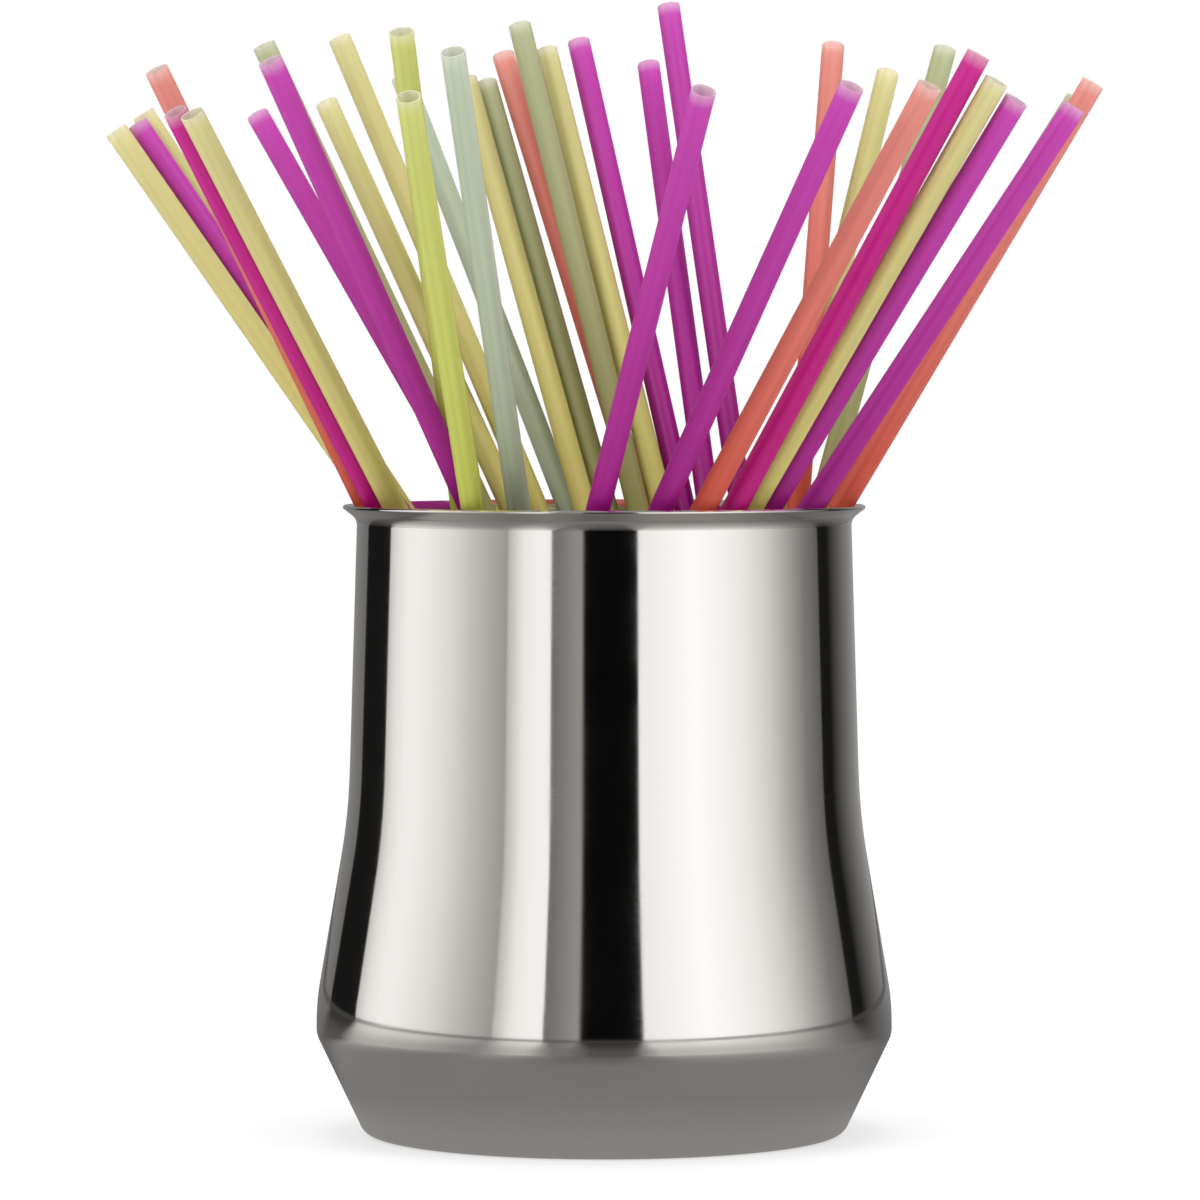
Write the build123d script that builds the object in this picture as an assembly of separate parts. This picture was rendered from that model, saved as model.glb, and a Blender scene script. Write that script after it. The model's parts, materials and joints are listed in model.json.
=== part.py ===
from build123d import *

import math
import os

import numpy as np

# A spun steel straw holder, full of loose drinking straws.
# Millimetres, +Z up, origin at the centre of the flat base, the photographed front towards -Y.

# Holder, measured on the outside of the sheet
lip_diameter = 100.6
lip_height = 120.4
lip_flare_start = 118.2
throat_diameter = 94.9
waist_diameter = 98.3
waist_height = 61.6
shoulder_diameter = 110.7
shoulder_top = 25.3
shoulder_bottom = 19.3
base_diameter = 92.2
sheet_thickness = 0.8

# Rounding of the holder's outline, from the base up
base_corner_radius = 3.0
shoulder_crease_radius = 5.0
shoulder_crown_radius = 48.0
waist_radius = 120.0
lip_root_radius = 4.0
lip_edge_radius = 0.3
# The most of a straight run, or of the sheet's edge, that the fillets at its two ends may take
fillet_share = 0.95

# Straws
straw_diameter = 4.5
straw_wall = 0.25
straw_length = 232.0
straw_pull = 160.0
straw_gap = 0.3
seat_gap = 0.3

# The place the straws are seen from: how far in front of the holder's axis, and how high
viewing_distance = 1300.0
eye_height = 150.0

# The bundle as it is seen from there, from the nearest straw to the furthest. Each straw has its
# colour, the side of the lip it leans on, how far right of the middle it crosses the lip, and how
# far right and how high its top is. All are read as if they lay in the plane of the holder's axis,
# in this unit.
reading_length = 1.0
FRONT = -1
BACK = 1
BUNDLE = [
    ("lime", FRONT, -23, (-34, 198)),
    ("grey", FRONT, -18, (-30, 197)),
    ("lime", FRONT, -28, (-39, 200)),
    ("magenta", FRONT, -1, (19, 199)),
    ("magenta", FRONT, 11, (47, 199)),
    ("magenta", FRONT, 37, (93, 206)),
    ("coral", FRONT, 47, (96, 201)),
    ("pink", FRONT, 24, (71, 208)),
    ("yellow", FRONT, 29, (76, 200)),
    ("magenta", FRONT, 32, (79, 196)),
    ("pink", FRONT, -43, (-81, 194)),
    ("yellow", FRONT, -39, (-76, 192)),
    ("coral", FRONT, -45, (-83, 199)),
    ("magenta", FRONT, -25, (-63, 197)),
    ("yellow", BACK, -45, (-98, 191)),
    ("magenta", BACK, -41, (-96, 195)),
    ("yellow", BACK, -40, (-94, 200)),
    ("coral", FRONT, 20, (72, 204)),
    ("coral", BACK, 6, (-24, 210)),
    ("yellow", BACK, -5, (-28, 205)),
    ("green", BACK, 6, (-14, 207)),
    ("magenta", BACK, 15, (-5, 205)),
    ("magenta", BACK, 25, (10, 206)),
    ("yellow", BACK, 34, (53, 201)),
    ("coral", BACK, 37, (43, 203)),
    ("green", BACK, 42, (94, 202)),
    ("yellow", BACK, -17, (-54, 196)),
    ("grey", BACK, -13, (-56, 204)),
    ("magenta", BACK, -24, (-67, 197)),
    ("green", BACK, -23, (-60, 198)),
    ("yellow", BACK, -13, (-44, 202)),
    ("magenta", BACK, 19, (8, 201)),
    ("green", BACK, 4, (-17, 205)),
    ("yellow", BACK, 10, (-10, 204)),
    ("green", BACK, 41, (64, 206)),
]

# How the bundle settles: a straw gives way in depth first, and sideways only by this share
sideways_give = 0.08
# The nearest straw gives way by this share of what the furthest one does
nearest_give = 0.3
# After this many rounds the sideways share grows, and reaches 1 when as many again have passed
patient_rounds = 2500
# Places are kept to this grain, so that the bundle settles the same way every time
settling_grain = straw_gap / 3000

# The rolled root of the lip, which the straws lean on, as a circle in the holder's section
straw_radius = straw_diameter / 2
lip_rise = lip_height - lip_flare_start
lip_run = (lip_diameter - throat_diameter) / 2
lip_turn = math.atan2(lip_run, lip_rise)
lip_root_centre = throat_diameter / 2 + lip_root_radius
lip_root_height = lip_flare_start - lip_root_radius * math.tan(lip_turn / 2)
lip_root_clear = lip_root_radius + sheet_thickness + seat_gap + straw_radius

# How far from the holder's axis a straw's own axis may come at the lip, below it and on the floor
floor_top = sheet_thickness
throat_room = lip_root_centre - lip_root_clear
full_lean = math.atan((throat_room + base_diameter / 2) / lip_height)
bowl_slope = math.atan2((shoulder_diameter - base_diameter) / 2, shoulder_bottom)
foot_height = floor_top + seat_gap + straw_radius * math.sin(full_lean)
foot_wall = base_diameter / 2 - sheet_thickness / math.cos(bowl_slope) + foot_height * math.tan(bowl_slope)
floor_room = foot_wall - seat_gap - straw_radius
lip_touch_height = lip_root_height + lip_root_clear * math.sin(full_lean)
lip_touch_room = lip_root_centre - lip_root_clear * math.cos(full_lean)
mouth_room = lip_touch_room + (lip_height - lip_touch_height) * math.tan(full_lean)


def fitted_radii(corners, radii):
    """The radii of an outline's corners, made smaller where the straight runs are too short for them."""
    runs = [end - start for start, end in zip(corners, corners[1:])]
    turns = [math.radians(one.get_angle(two)) for one, two in zip(runs, runs[1:])]
    taken = [radius * math.tan(turn / 2) for radius, turn in zip(radii, turns)]
    for place, run in enumerate(runs):
        ends = range(max(place - 1, 0), min(place + 1, len(taken)))
        room = run.length * fillet_share / sum(taken[end] for end in ends)
        for end in ends:
            taken[end] *= min(room, 1)
    return [length / math.tan(turn / 2) for length, turn in zip(taken, turns)]


def holder():
    """The cup: one sheet, spun to a flared lip, a long neck, a creased shoulder and a flat base."""
    corners = [
        Vector(0, 0),
        Vector(base_diameter / 2, 0),
        Vector(shoulder_diameter / 2, shoulder_bottom),
        Vector(shoulder_diameter / 2, shoulder_top),
        Vector(waist_diameter / 2, waist_height),
        Vector(throat_diameter / 2, lip_flare_start),
        Vector(lip_diameter / 2, lip_height),
    ]
    radii = [
        base_corner_radius,
        shoulder_crease_radius,
        shoulder_crown_radius,
        waist_radius,
        lip_root_radius,
    ]
    outline = FilletPolyline(*corners, radius=fitted_radii(corners, radii))
    section = make_face(offset(outline, sheet_thickness, side=Side.LEFT))
    lip_corners = section.vertices().sort_by(Axis.Y)[-2:]
    section = fillet(lip_corners, min(lip_edge_radius, fillet_share * sheet_thickness / 2))
    return revolve(Plane.XZ * section, Axis.Z)


def seen_places():
    """Where each straw crosses the lip and where it meets the floor, in plan, from how it is seen."""
    sides = np.array([side for _, side, _, _ in BUNDLE])
    lip_seen = np.array([crossing for _, _, crossing, _ in BUNDLE]) * reading_length
    top_seen = np.array([top for _, _, _, top in BUNDLE]) * reading_length
    lip_back = sides * np.sqrt(np.maximum(mouth_room ** 2 - lip_seen ** 2, 0))
    lip_right = lip_seen * (1 + lip_back / viewing_distance)
    top_back = lip_back
    for _ in range(10):
        spread = 1 + top_back / viewing_distance
        top_right = top_seen[:, 0] * spread
        top_height = eye_height + (top_seen[:, 1] - eye_height) * spread
        lean_right = (top_right - lip_right) / (top_height - lip_height)
        lean = (straw_length / (top_height - floor_top)) ** 2 - 1
        lean_back = sides * np.sqrt(np.maximum(lean - lean_right ** 2, 0))
        top_back = lip_back + lean_back * (top_height - lip_height)
    mouths = np.column_stack([lip_right, lip_back])
    feet = mouths - np.column_stack([lean_right, lean_back]) * (lip_height - floor_top)
    return mouths, feet


def lines_of(mouths, feet):
    """The lowest centre point and the upward direction of each straw, from its two plan places."""
    rise = np.full(len(mouths), lip_height - floor_top)
    axes = np.column_stack([mouths - feet, rise])
    axes /= np.linalg.norm(axes, axis=1)[:, None]
    slant = np.sqrt(1 - axes[:, 2] ** 2)
    lift = seat_gap + straw_radius * slant
    starts = np.column_stack([feet, np.full(len(feet), floor_top)])
    starts = starts + axes * (lift / axes[:, 2])[:, None]
    return starts, axes


def nearest_places(starts, axes, one, two):
    """How far along each of two straws, pulled out to the full, they come nearest to each other."""
    reach = straw_length + straw_pull
    apart = starts[one] - starts[two]
    alike = np.sum(axes[one] * axes[two], axis=1)
    along_one = np.sum(axes[one] * apart, axis=1)
    along_two = np.sum(axes[two] * apart, axis=1)
    spread = np.maximum(1 - alike ** 2, 1e-9)
    place_one = np.clip((alike * along_two - along_one) / spread, 0, reach)
    place_two = np.clip(along_two + alike * place_one, 0, reach)
    place_one = np.clip(alike * place_two - along_one, 0, reach)
    return place_one, place_two


def kept_within(points, room):
    """Plan points brought into a circle round the holder's axis, by depth if that is enough."""
    right = np.clip(points[:, 0], -room, room)
    deepest = np.sqrt(np.maximum(room ** 2 - right ** 2, 0))
    return np.column_stack([right, np.clip(points[:, 1], -deepest, deepest)])


def settle(mouths, feet):
    """Eases the straws apart until each is clear of the others, at rest and while pulled out."""
    one, two = np.triu_indices(len(mouths), 1)
    wanted = straw_diameter + straw_gap
    throat_share = (lip_root_height - floor_top) / (lip_height - floor_top)
    ease = np.linspace(nearest_give, 1, len(mouths))
    for turn in range(2 * patient_rounds):
        starts, axes = lines_of(mouths, feet)
        place_one, place_two = nearest_places(starts, axes, one, two)
        near_one = starts[one] + axes[one] * place_one[:, None]
        near_two = starts[two] + axes[two] * place_two[:, None]
        between = near_one - near_two
        distance = np.linalg.norm(between, axis=1)
        crossing = distance < straw_gap / 10
        between[crossing] = np.cross(axes[one], axes[two])[crossing]
        between[~between.any(axis=1)] = (0, 1, 0)
        length = np.linalg.norm(between, axis=1)
        short = wanted - distance
        if short.max() < straw_gap / 10:
            break
        pressed = short > 0
        away = between[pressed, :2] / length[pressed, None]
        impatience = max(0, turn - patient_rounds) / patient_rounds
        give = np.array([sideways_give + (1 - sideways_give) * impatience, 1])
        yielded = np.maximum(np.sum(away * away * give, axis=1), sideways_give)
        push = away * give * (short[pressed] / yielded)[:, None]
        push /= (ease[one] + ease[two])[pressed, None]
        for straws, near, sign in ((one, near_one, 1), (two, near_two, -1)):
            share = (near[pressed, 2] - floor_top) / (lip_height - floor_top)
            share = np.clip(share, 0, 1)[:, None]
            move = sign * push * ease[straws][pressed, None]
            np.add.at(mouths, straws[pressed], move * share)
            np.add.at(feet, straws[pressed], move * (1 - share))
        mouths = kept_within(mouths, mouth_room)
        stands = lines_of(mouths, feet)[0][:, :2]
        feet = feet + kept_within(stands, floor_room) - stands
        throats = feet + (mouths - feet) * throat_share
        mouths = mouths + (kept_within(throats, throat_room) - throats) / throat_share
        mouths = np.round(mouths / settling_grain) * settling_grain
        feet = np.round(feet / settling_grain) * settling_grain
    print("least space between straws", round(distance.min() - straw_diameter, 3), "after", turn, "rounds")
    return starts, axes


def straw(start, axis):
    """One straight tube, cut square at both ends."""
    ring = Circle(straw_radius) - Circle(straw_radius - straw_wall)
    foot = Plane(origin=tuple(start), z_dir=tuple(axis))
    return extrude(foot * ring, straw_length)


def main():
    os.makedirs("parts", exist_ok=True)
    export_step(holder(), "parts/holder.step")
    starts, axes = settle(*seen_places())
    made = {}
    for (colour, _, _, _), start, axis in zip(BUNDLE, starts, axes):
        made[colour] = made.get(colour, 0) + 1
        name = f"{colour}_straw_{made[colour]:02d}"
        export_step(straw(start, axis), f"parts/{name}.step")
        print(name, "starts at", np.round(start, 3), "along", np.round(axis, 6))


main()
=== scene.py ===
import json
import math

import bpy
from mathutils import Matrix, Vector


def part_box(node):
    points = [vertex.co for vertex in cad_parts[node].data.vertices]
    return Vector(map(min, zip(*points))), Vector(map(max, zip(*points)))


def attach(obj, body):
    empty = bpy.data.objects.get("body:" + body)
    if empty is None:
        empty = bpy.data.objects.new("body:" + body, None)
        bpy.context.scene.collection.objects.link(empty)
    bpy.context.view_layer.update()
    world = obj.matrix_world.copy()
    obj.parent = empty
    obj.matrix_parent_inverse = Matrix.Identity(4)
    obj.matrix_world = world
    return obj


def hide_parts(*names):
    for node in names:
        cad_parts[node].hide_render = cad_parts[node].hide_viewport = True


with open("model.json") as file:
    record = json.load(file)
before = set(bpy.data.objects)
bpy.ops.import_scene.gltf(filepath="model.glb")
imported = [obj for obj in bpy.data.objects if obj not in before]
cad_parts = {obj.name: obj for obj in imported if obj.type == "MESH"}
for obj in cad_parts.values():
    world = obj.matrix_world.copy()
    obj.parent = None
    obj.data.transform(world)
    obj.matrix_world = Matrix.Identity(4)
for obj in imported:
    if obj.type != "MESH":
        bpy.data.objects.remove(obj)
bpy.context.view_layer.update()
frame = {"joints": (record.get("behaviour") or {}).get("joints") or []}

# A polished steel straw holder with translucent straws, in a white studio.
# Metres, in the frame's own axes: +Z up, the photographed front towards -Y.

MM = 0.001

# Holder, measured on the outside of the sheet
LIP_RADIUS = 50.3 * MM
LIP_HEIGHT = 120.4 * MM
LIP_FLARE_START = 118.2 * MM
THROAT_RADIUS = 47.45 * MM
WAIST_RADIUS = 49.15 * MM
WAIST_HEIGHT = 61.6 * MM
SHOULDER_RADIUS = 55.35 * MM
SHOULDER_TOP = 25.3 * MM
SHOULDER_BOTTOM = 19.3 * MM
BASE_RADIUS = 46.1 * MM
SHEET = 0.8 * MM

# Radii of the holder's corners, from the base up. The sheet is drawn thinner at the bend below the lip,
# where its outside turns more tightly.
BASE_ROUNDING = 3.0 * MM
SHOULDER_BOTTOM_ROUNDING = 5.0 * MM
SHOULDER_TOP_ROUNDING = 48.0 * MM
WAIST_ROUNDING = 120.0 * MM
LIP_BEND = 4.0 * MM
OUTER_LIP_BEND = 2.5 * MM
LIP_EDGE_ROUNDING = 0.3 * MM

# Straws
STRAW_RADIUS = 2.25 * MM
STRAW_BORE = 2.0 * MM
STRAW_RIM_ROUNDING = 0.07 * MM
STRAW_LENGTH = 232.0 * MM

# Fineness of the meshes, and the reach within which a point counts as on the axis
ARC_STEP = math.radians(1.5)
RIM_STEP = math.radians(30)
LONGEST_RUN = 2.5 * MM
HOLDER_SIDES = 256
STRAW_SIDES = 48
ON_AXIS = MM / 1000

# Steel: its colour as sRGB, the fine rings that buffing leaves round it, wear in patches, and the roughness
# that the two give together
STEEL_COLOUR = (236, 232, 228)
BUFFING_SCALE = (20, 20, 2600)
BUFFING_DETAIL = 3.0
BUFFING_STRENGTH = 0.008
BUFFING_DEPTH = 0.02 * MM
WEAR_SCALE = 60.0
WEAR_DETAIL = 4.0
FINISH_RANGE = (0.1, 0.45)
STEEL_ROUGHNESS = (0.045, 0.10)

# Straw colours as sRGB: in the shade near the lip, and in the light at the top
STRAW_COLOURS = {
    "magenta": ((176, 2, 142), (218, 78, 198)),
    "pink": ((204, 2, 136), (222, 42, 164)),
    "coral": ((222, 84, 56), (246, 162, 150)),
    "yellow": ((222, 210, 118), (236, 230, 166)),
    "lime": ((209, 217, 92), (226, 232, 138)),
    "green": ((168, 164, 96), (198, 204, 160)),
    "grey": ((200, 212, 182), (216, 228, 206)),
}
# Height on the straw where its painted shade starts turning into painted light
SHADE_TO_LIGHT_START = 0.55 * STRAW_LENGTH

# The pale colour of painted light, as sRGB, that mixes in at the straw's end, in its bore and most of all
# in the bore's end
PAINTED_LIGHT_COLOUR = (250, 246, 240)
END_FADE = 2.5 * MM
END_LIGHT_SHARE = 0.40
BORE_LIGHT_SHARE = 0.35
BORE_END_DEPTH = 12.0 * MM
BORE_END_LIGHT_SHARE = 0.85

# Straw plastic: fine streaks along the straw, with the tone and roughness that they give, and how the
# plastic takes the light
STREAK_SCALE = (900, 900, 9)
STREAK_DETAIL = 3.0
STREAK_RANGE = (0.3, 0.7)
STREAK_TONE = (0.90, 1.06)
STREAK_ROUGHNESS = (0.30, 0.42)
STREAK_STRENGTH = 0.15
STREAK_DEPTH = 0.03 * MM
PLASTIC_IOR = 1.40
PLASTIC_SPECULAR = 0.25
PLASTIC_TRANSMISSION = 0.50

# Camera: where it stands, the height it looks at in the plane of the holder's axis, and its lens and
# sensor in millimetres
CAMERA_PLACE = Vector((-0.8 * MM, -1.300, 0.150))
CAMERA_AIM_HEIGHT = 0.1026
CAMERA_LENS = 203.1
CAMERA_SENSOR = 36.0

# The studio as the steel sees it: degrees round the holder from the camera, and how bright it is.
# Two entries at one place make a sharp edge.
STUDIO = [
    # Wall behind the holder, left half
    (-180, 0.30),
    (-138.5, 0.17),
    # Black flag
    (-138.5, 0.01),
    (-113.5, 0.01),
    # Left softbox, weaker towards the camera
    (-113.5, 0.66),
    (-107, 0.90),
    (-99, 1.05),
    (-91, 1.06),
    (-73, 0.86),
    (-59, 0.60),
    (-43, 0.36),
    # White strip, brighter towards the camera
    (-43, 0.56),
    (-36, 0.97),
    (-31, 1.07),
    (-23, 1.10),
    # Grey strip
    (-23, 0.16),
    (-10, 0.34),
    # Dark room behind the camera
    (-8.5, 0.003),
    (14.9, 0.003),
    # Right softbox, weaker away from the camera
    (14.9, 1.02),
    (40, 1.20),
    (55, 1.10),
    (66, 0.95),
    (77, 0.745),
    (88, 0.48),
    (101, 0.23),
    (113.5, 0.125),
    # Black flag, with a soft far edge
    (113.5, 0.01),
    (122, 0.01),
    (131, 0.085),
    # Wall behind the holder, right half
    (140, 0.16),
    (162, 0.33),
    (180, 0.30),
]

# Size of the studio's cards, and the degrees from one of their points to the next
STUDIO_RADIUS = 0.70
STUDIO_HEIGHT = 0.90
STUDIO_STEP = 0.5

# Tint of the cards' light, warm where they are dim and nearly white where they are bright, and the name
# of the mesh colours that hold it
DIM_LIGHT = 0.7
DIM_TINT = (1.0, 0.985, 0.97)
BRIGHT_LIGHT = 1.2
BRIGHT_TINT = (0.975, 0.985, 1.0)
LIGHT_LAYER = "light"

# The studio's wall, ceiling and satin table, as the steel sees them: radius and height of each ring, its
# own grey, how much of the studio it shows (on the table and at the wall's foot a painted reflection of the
# studio, in the card's glow), and over how many degrees to each side that is blurred
# A dark band at the foot of the wall, with a painted reflection of the studio in it
GAP_HEIGHT = 0.014
GAP_GREY = 0.08
GAP_PAINTED_REFLECTION = 0.28
CEILING_GREY = 0.30
WALL = [
    (STUDIO_RADIUS, 0, GAP_GREY, GAP_PAINTED_REFLECTION, 0),
    (STUDIO_RADIUS, GAP_HEIGHT, GAP_GREY, GAP_PAINTED_REFLECTION, 0),
    (STUDIO_RADIUS, GAP_HEIGHT, 0, 1, 0),
    (STUDIO_RADIUS, STUDIO_HEIGHT, 0, 1, 0),
]
CEILING = [
    (STUDIO_RADIUS, STUDIO_HEIGHT, CEILING_GREY, 0, 0),
    (0, STUDIO_HEIGHT, CEILING_GREY, 0, 0),
]
# The table's glow is its own grey with a painted reflection of the blurred studio, fading towards the
# holder
TABLE = [
    (0.000, 0, 0.29, 0.00, 0),
    (0.050, 0, 0.27, 0.00, 0),
    (0.060, 0, 0.215, 0.00, 0),
    (0.068, 0, 0.20, 0.03, 16),
    (0.087, 0, 0.17, 0.10, 12),
    (0.150, 0, 0.16, 0.24, 8),
    (0.283, 0, 0.15, 0.46, 5),
    (0.415, 0, 0.14, 0.66, 3),
    (STUDIO_RADIUS, 0, 0.12, 0.80, 2),
]

# Floor: how far below the holder it lies, its grey in the light, and the share of plain white that it
# shows, which grows from near the holder to the end of the shadow
FLOOR_SIZE = 8.0
FLOOR_GAP = 0.05 * MM
FLOOR_GREY = 0.9
FLOOR_WHITE = 0.55
SHADOW_START = 0.10
SHADOW_END = 0.40

# Background light on the object, and lamps: name, place, width and watts
WORLD_LIGHT = 0.95
LAMPS = [
    ("left_lamp", (-0.9, -0.9, 0.9), 0.8, 6.0),
    ("right_lamp", (1.0, -0.7, 0.8), 0.8, 5.0),
    ("top_lamp", (0.0, 0.2, 1.4), 1.0, 7.0),
]


# Meshes and objects


def right_of(heading):
    """The unit normal on the right of a heading in the plane."""
    return Vector((heading.y, -heading.x))


def rounded(corners, radii, arc_step):
    """Points and outward normals along an outline, with arcs of these radii at its inner corners."""
    first = (corners[1] - corners[0]).normalized()
    last = (corners[-1] - corners[-2]).normalized()
    path = [(corners[0], right_of(first))]
    for before, corner, after, radius in zip(corners, corners[1:], corners[2:], radii):
        came = (corner - before).normalized()
        goes = (after - corner).normalized()
        turn = math.atan2(came.x * goes.y - came.y * goes.x, came.dot(goes))
        side = math.copysign(1, turn)
        start = corner - came * (radius * math.tan(abs(turn) / 2))
        centre = start - right_of(came) * (radius * side)
        steps = math.ceil(abs(turn) / arc_step)
        for step in range(steps + 1):
            normal = right_of(Matrix.Rotation(turn * step / steps, 2) @ came)
            path.append((centre + normal * (radius * side), normal))
    path.append((corners[-1], right_of(last)))
    return path


def divided(path, longest):
    """The path with points added along its long runs."""
    finer = [path[0]]
    for (start, leaving), (end, arriving) in zip(path, path[1:]):
        pieces = math.ceil((end - start).length / longest)
        for piece in range(1, pieces + 1):
            share = piece / pieces
            finer.append((start.lerp(end, share), leaving.lerp(arriving, share).normalized()))
    return finer


def new_mesh(name, vertices, faces):
    """A mesh of these vertices and faces."""
    mesh = bpy.data.meshes.new(name)
    mesh.from_pydata(vertices, [], faces)
    return mesh


def lathe(name, path, sides, closed):
    """A mesh of revolution about Z from points (radius, height) and their normals.

    A closed one joins the last ring to the first.
    """
    vertices = []
    normals = []
    rings = []
    for point, normal in path:
        start = len(vertices)
        around = [math.tau * side / sides for side in range(sides)]
        if point.x < ON_AXIS:
            around = [0.0]
        vertices += [(point.x * math.cos(a), point.x * math.sin(a), point.y) for a in around]
        normals += [(normal.x * math.cos(a), normal.x * math.sin(a), normal.y) for a in around]
        rings.append([start + side % len(around) for side in range(sides)])
    faces = []
    for low, high in zip(rings, rings[1:] + rings[:1] if closed else rings[1:]):
        for side in range(sides):
            after = (side + 1) % sides
            faces.append(list(dict.fromkeys((low[side], low[after], high[after], high[side]))))
    mesh = new_mesh(name, vertices, faces)
    mesh.shade_smooth()
    mesh.normals_split_custom_set_from_vertices(normals)
    return mesh


def add(name, data):
    """A new object in the scene with this mesh, lamp or camera."""
    piece = bpy.data.objects.new(name, data)
    bpy.context.scene.collection.objects.link(piece)
    return piece


# Colours and nodes


def linear(colour):
    """An sRGB colour of 0 to 255 as linear RGBA."""
    shares = [value / 255 for value in colour]
    return [*(s / 12.92 if s < 0.04045 else ((s + 0.055) / 1.055) ** 2.4 for s in shares), 1]


def feed(socket, source):
    """Link a socket to a node's output, or set it to a value."""
    if hasattr(source, "is_output"):
        socket.id_data.links.new(source, socket)
    else:
        socket.default_value = source


def node(tree, kind, sources=(), **settings):
    """A new node with these settings, and with sources for its inputs by name or number."""
    made = tree.nodes.new(kind)
    for setting, value in settings.items():
        setattr(made, setting, value)
    for place, source in dict(sources).items():
        feed(made.inputs[place], source)
    return made


def object_place(tree):
    """A point's place on the piece's own axes."""
    return node(tree, "ShaderNodeTexCoord").outputs["Object"]


def calculated(tree, operation, one, two):
    """Two numbers put together by a math operation."""
    return node(tree, "ShaderNodeMath", {0: one, 1: two}, operation=operation).outputs[0]


def multiplied(tree, one, two):
    """Two vectors or colours multiplied part by part."""
    return node(tree, "ShaderNodeVectorMath", {0: one, 1: two}, operation="MULTIPLY").outputs[0]


def vector_length(tree, vector):
    """How long a vector is."""
    return node(tree, "ShaderNodeVectorMath", {0: vector}, operation="LENGTH").outputs["Value"]


def ranged(tree, source, start, end, low=0, high=1):
    """A number that goes from low to high while source goes from start to end."""
    return node(tree, "ShaderNodeMapRange", {0: source, 1: start, 2: end, 3: low, 4: high}).outputs[0]


def stretched(tree, place, scale):
    """A place with its own scale along each axis."""
    return node(tree, "ShaderNodeMapping", {"Vector": place, "Scale": scale}).outputs[0]


def noise(tree, place, detail, scale=1.0):
    """Soft random variation from place to place."""
    sources = {"Vector": place, "Scale": scale, "Detail": detail}
    return node(tree, "ShaderNodeTexNoise", sources).outputs[0]


def bumped(tree, height, strength, depth):
    """A surface normal that follows a height."""
    sources = {"Height": height, "Strength": strength, "Distance": depth}
    return node(tree, "ShaderNodeBump", sources).outputs[0]


def mixed_colour(tree, share, one, two):
    """A colour that goes from one to the other with share."""
    mix = node(tree, "ShaderNodeMix", data_type="RGBA")
    sockets = [socket for socket in mix.inputs if socket.enabled]
    for socket, source in zip(sockets, (share, one, two)):
        feed(socket, source)
    return next(socket for socket in mix.outputs if socket.enabled)


# Materials


def new_material(name):
    """A material with nodes."""
    material = bpy.data.materials.new(name)
    material.use_nodes = True
    return material


def set_shader(tree, sources):
    """Set or link the inputs of the material's own shader."""
    shader = tree.nodes["Principled BSDF"]
    for place, source in sources.items():
        feed(shader.inputs[place], source)


def polished_steel():
    """Mirror-polished stainless steel with faint rings from spinning and buffing."""
    material = new_material("polished_steel")
    tree = material.node_tree
    place = object_place(tree)
    buffing = noise(tree, stretched(tree, place, BUFFING_SCALE), BUFFING_DETAIL)
    wear = noise(tree, place, WEAR_DETAIL, WEAR_SCALE)
    finish = calculated(tree, "MULTIPLY", buffing, wear)
    set_shader(tree, {
        "Base Color": linear(STEEL_COLOUR),
        "Metallic": 1.0,
        "Roughness": ranged(tree, finish, *FINISH_RANGE, *STEEL_ROUGHNESS),
        "Normal": bumped(tree, buffing, BUFFING_STRENGTH, BUFFING_DEPTH),
    })
    return material


def straw_plastic(colour):
    """Thin translucent plastic: deeper in colour low down and paler at the top and inside the bore, as
    painted shade and painted light.
    """
    material = new_material(f"{colour}_plastic")
    tree = material.node_tree
    deep, light = (linear(value) for value in STRAW_COLOURS[colour])
    pale = linear(PAINTED_LIGHT_COLOUR)
    place = object_place(tree)
    height = node(tree, "ShaderNodeSeparateXYZ", {0: place}).outputs["Z"]
    # Painted shade low down, turning into painted light towards the top
    shade_to_light = ranged(tree, height, SHADE_TO_LIGHT_START, STRAW_LENGTH)
    body = mixed_colour(tree, shade_to_light, deep, light)
    # Painted light at the straw's end
    tip_light = ranged(tree, height, STRAW_LENGTH - END_FADE, STRAW_LENGTH, 0, END_LIGHT_SHARE)
    body = mixed_colour(tree, tip_light, body, pale)
    # Painted light inside the bore, strongest near its end
    reach = vector_length(tree, multiplied(tree, place, (1, 1, 0)))
    inside = ranged(tree, height, STRAW_LENGTH - BORE_END_DEPTH, STRAW_LENGTH, BORE_LIGHT_SHARE, BORE_END_LIGHT_SHARE)
    bore = ranged(tree, reach, STRAW_BORE, (STRAW_BORE + STRAW_RADIUS) / 2, inside, 0)
    body = mixed_colour(tree, bore, body, pale)
    streaks = noise(tree, stretched(tree, place, STREAK_SCALE), STREAK_DETAIL)
    tone = ranged(tree, streaks, *STREAK_RANGE, *STREAK_TONE)
    set_shader(tree, {
        "Base Color": multiplied(tree, body, tone),
        "Roughness": ranged(tree, streaks, *STREAK_RANGE, *STREAK_ROUGHNESS),
        "Normal": bumped(tree, streaks, STREAK_STRENGTH, STREAK_DEPTH),
        "IOR": PLASTIC_IOR,
        "Specular IOR Level": PLASTIC_SPECULAR,
        "Transmission Weight": PLASTIC_TRANSMISSION,
    })
    return material


# Pieces


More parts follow.
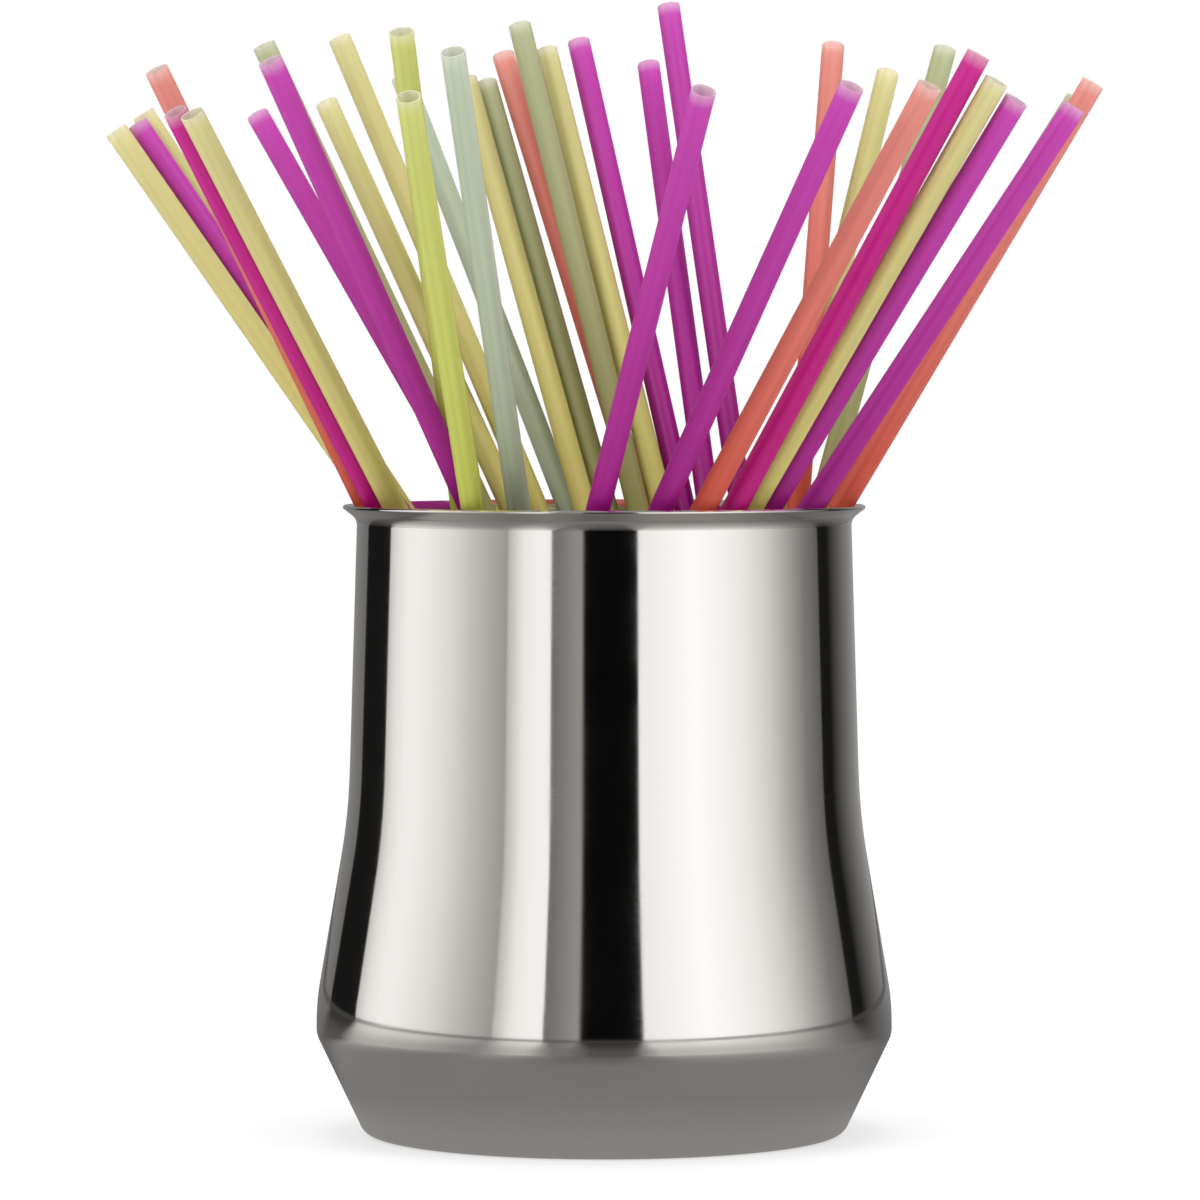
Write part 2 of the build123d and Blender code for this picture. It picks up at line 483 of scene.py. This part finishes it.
def build_holder():
    """The cup: one sheet with a flared lip, a waist, a creased shoulder and a flat base."""
    corners = [
        Vector((0, 0)),
        Vector((BASE_RADIUS, 0)),
        Vector((SHOULDER_RADIUS, SHOULDER_BOTTOM)),
        Vector((SHOULDER_RADIUS, SHOULDER_TOP)),
        Vector((WAIST_RADIUS, WAIST_HEIGHT)),
        Vector((THROAT_RADIUS, LIP_FLARE_START)),
        Vector((LIP_RADIUS, LIP_HEIGHT)),
    ]
    radii = [BASE_ROUNDING, SHOULDER_BOTTOM_ROUNDING, SHOULDER_TOP_ROUNDING, WAIST_ROUNDING]
    outside = rounded(corners, radii + [OUTER_LIP_BEND], ARC_STEP)
    sheet = rounded(corners, radii + [LIP_BEND], ARC_STEP)
    inside = [(point - normal * SHEET, -normal) for point, normal in reversed(sheet)]
    lip = [outside[-2][0], outside[-1][0], inside[0][0], inside[1][0]]
    edge = rounded(lip, [LIP_EDGE_ROUNDING] * 2, RIM_STEP)
    path = divided(outside[:-1] + edge[1:-1] + inside[1:], LONGEST_RUN)
    mesh = lathe("steel_cup", path, HOLDER_SIDES, closed=False)
    mesh.materials.append(polished_steel())
    cup = add("steel_cup", mesh)
    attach(cup, "holder")
    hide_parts("holder")


def straw_tube(colour):
    """The mesh of a straw along +Z from its foot at the origin: a thin tube, open at both ends."""
    corners = [
        Vector((STRAW_RADIUS, STRAW_LENGTH / 2)),
        Vector((STRAW_RADIUS, STRAW_LENGTH)),
        Vector((STRAW_BORE, STRAW_LENGTH)),
        Vector((STRAW_BORE, 0)),
        Vector((STRAW_RADIUS, 0)),
        Vector((STRAW_RADIUS, STRAW_LENGTH / 2)),
    ]
    wall = rounded(corners, [STRAW_RIM_ROUNDING] * 4, RIM_STEP)[:-1]
    mesh = lathe(f"{colour}_tube", wall, STRAW_SIDES, closed=True)
    mesh.materials.append(straw_plastic(colour))
    return mesh


def build_straws():
    """Every straw along the axis of its own joint."""
    tubes = {colour: straw_tube(colour) for colour in STRAW_COLOURS}
    for joint in frame["joints"]:
        name = joint["child"]
        colour = name.split("_")[0]
        axis = Vector(joint["axis"]).normalized()
        low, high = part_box(name)
        foot = (low + high) / 2 - axis * (STRAW_LENGTH / 2)
        tube = add(f"{name}_tube", tubes[colour])
        turn = Vector((0, 0, 1)).rotation_difference(axis)
        tube.matrix_world = Matrix.LocRotScale(foot, turn, None)
        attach(tube, name)
        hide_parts(name)


# Studio


def stage_material(name):
    """A material with no nodes in it yet, whose glow isn't sampled as a lamp."""
    material = new_material(name)
    material.node_tree.nodes.clear()
    material.cycles.emission_sampling = "NONE"
    return material


def glow(name):
    """An emission material that takes its brightness from the mesh's own colours."""
    material = stage_material(name)
    tree = material.node_tree
    colour = node(tree, "ShaderNodeVertexColor", layer_name=LIGHT_LAYER).outputs["Color"]
    emission = node(tree, "ShaderNodeEmission", {"Color": colour})
    node(tree, "ShaderNodeOutputMaterial", {"Surface": emission.outputs[0]})
    return material


def reflected_only(piece):
    """A stage card that shows in glossy reflections and nowhere else."""
    piece.visible_camera = False
    piece.visible_diffuse = False
    piece.visible_transmission = False
    piece.visible_volume_scatter = False
    piece.visible_shadow = False


def studio_at(angle):
    """How bright the studio is at an angle, with the wall going on round past its ends."""
    angle = (angle + 180) % 360 - 180
    for (start, one), (end, two) in zip(STUDIO, STUDIO[1:]):
        if start <= angle < end:
            return one + (two - one) * (angle - start) / (end - start)
    return STUDIO[-1][1]


def blurred_studio(angle, spread):
    """The studio's brightness averaged over this many degrees to each side."""
    count = 2 * math.ceil(spread / STUDIO_STEP) + 1
    return sum(studio_at(angle + spread * (2 * (n + 0.5) / count - 1)) for n in range(count)) / count


def tinted(shade):
    """The colour of a card that is this bright."""
    share = min(max((shade - DIM_LIGHT) / (BRIGHT_LIGHT - DIM_LIGHT), 0), 1)
    return [shade * (dim + (bright - dim) * share) for dim, bright in zip(DIM_TINT, BRIGHT_TINT)]


def card(name, rings):
    """A band of rings round the holder that the steel mirrors."""
    count = round(360 / STUDIO_STEP)
    vertices = []
    shades = []
    faces = []
    for ring, (radius, height, grey, studio_share, spread) in enumerate(rings):
        for step in range(count):
            angle = step * STUDIO_STEP - 180
            turn = math.radians(angle)
            vertices.append((radius * math.sin(turn), -radius * math.cos(turn), height))
            # A ring's glow is its own grey with a share of the blurred studio; on the table and at the
            # wall's foot that share is a painted reflection
            shades.append(grey + (blurred_studio(angle, spread) - grey) * studio_share)
            if ring:
                here = ring * count + step
                after = ring * count + (step + 1) % count
                faces.append((here - count, after - count, after, here))
    mesh = new_mesh(name, vertices, faces)
    layer = mesh.color_attributes.new(LIGHT_LAYER, "FLOAT_COLOR", "POINT")
    for place, shade in zip(layer.data, shades):
        place.color = (*tinted(shade), 1)
    mesh.materials.append(glow(name))
    reflected_only(add(name, mesh))


def seen_directly(tree):
    """1 for camera, glossy and transmission rays, which show the white background."""
    path = node(tree, "ShaderNodeLightPath").outputs
    camera_or_glossy = calculated(tree, "MAXIMUM", path["Is Camera Ray"], path["Is Glossy Ray"])
    return calculated(tree, "MAXIMUM", camera_or_glossy, path["Is Transmission Ray"])


def build_floor():
    """A wide white floor that keeps a soft shadow near the holder and fades into the background."""
    material = stage_material("floor")
    tree = material.node_tree
    matte = node(tree, "ShaderNodeBsdfDiffuse", {"Color": (FLOOR_GREY, FLOOR_GREY, FLOOR_GREY, 1)})
    white = node(tree, "ShaderNodeEmission")
    reach = vector_length(tree, object_place(tree))
    fade = ranged(tree, reach, SHADOW_START, SHADOW_END, FLOOR_WHITE, 1)
    share = calculated(tree, "MULTIPLY", fade, seen_directly(tree))
    mix = node(tree, "ShaderNodeMixShader", {0: share, 1: matte.outputs[0], 2: white.outputs[0]})
    node(tree, "ShaderNodeOutputMaterial", {"Surface": mix.outputs[0]})
    half = FLOOR_SIZE / 2
    corners = [(-half, -half, 0), (half, -half, 0), (half, half, 0), (-half, half, 0)]
    mesh = new_mesh("floor", corners, [(0, 1, 2, 3)])
    mesh.materials.append(material)
    floor = add("floor", mesh)
    floor.location.z = -FLOOR_GAP


def build_world():
    """A white background, with a softer light of its own on the object."""
    world = bpy.data.worlds.new("studio")
    world.use_nodes = True
    tree = world.node_tree
    back = tree.nodes["Background"]
    feed(back.inputs["Color"], (1, 1, 1, 1))
    feed(back.inputs["Strength"], ranged(tree, seen_directly(tree), 0, 1, WORLD_LIGHT, 1))
    bpy.context.scene.world = world


def aim(piece, target):
    """Turn a lamp or the camera towards a point."""
    piece.rotation_euler = (target - piece.location).to_track_quat("-Z", "Y").to_euler()


def build_lamps():
    """Large soft lamps, left, right and above, which the steel doesn't mirror."""
    for name, place, width, power in LAMPS:
        light = bpy.data.lights.new(name, "AREA")
        light.shape = "DISK"
        light.size = width
        light.energy = power
        lamp = add(name, light)
        lamp.location = place
        aim(lamp, Vector((0, 0, LIP_HEIGHT)))
        lamp.visible_glossy = False


def build_camera():
    """The camera at the photograph's place, looking slightly down."""
    lens = bpy.data.cameras.new("camera")
    lens.lens = CAMERA_LENS
    lens.sensor_width = CAMERA_SENSOR
    camera = add("camera", lens)
    camera.location = CAMERA_PLACE
    aim(camera, Vector((CAMERA_PLACE.x, 0, CAMERA_AIM_HEIGHT)))
    bpy.context.scene.camera = camera


def build_studio():
    """Floor, background, lamps and the cards that the steel mirrors."""
    build_floor()
    build_world()
    build_lamps()
    card("studio_wall", WALL)
    card("ceiling", CEILING)
    card("table", TABLE)


build_holder()
build_straws()
build_studio()
build_camera()
bpy.context.scene.view_settings.view_transform = "Standard"
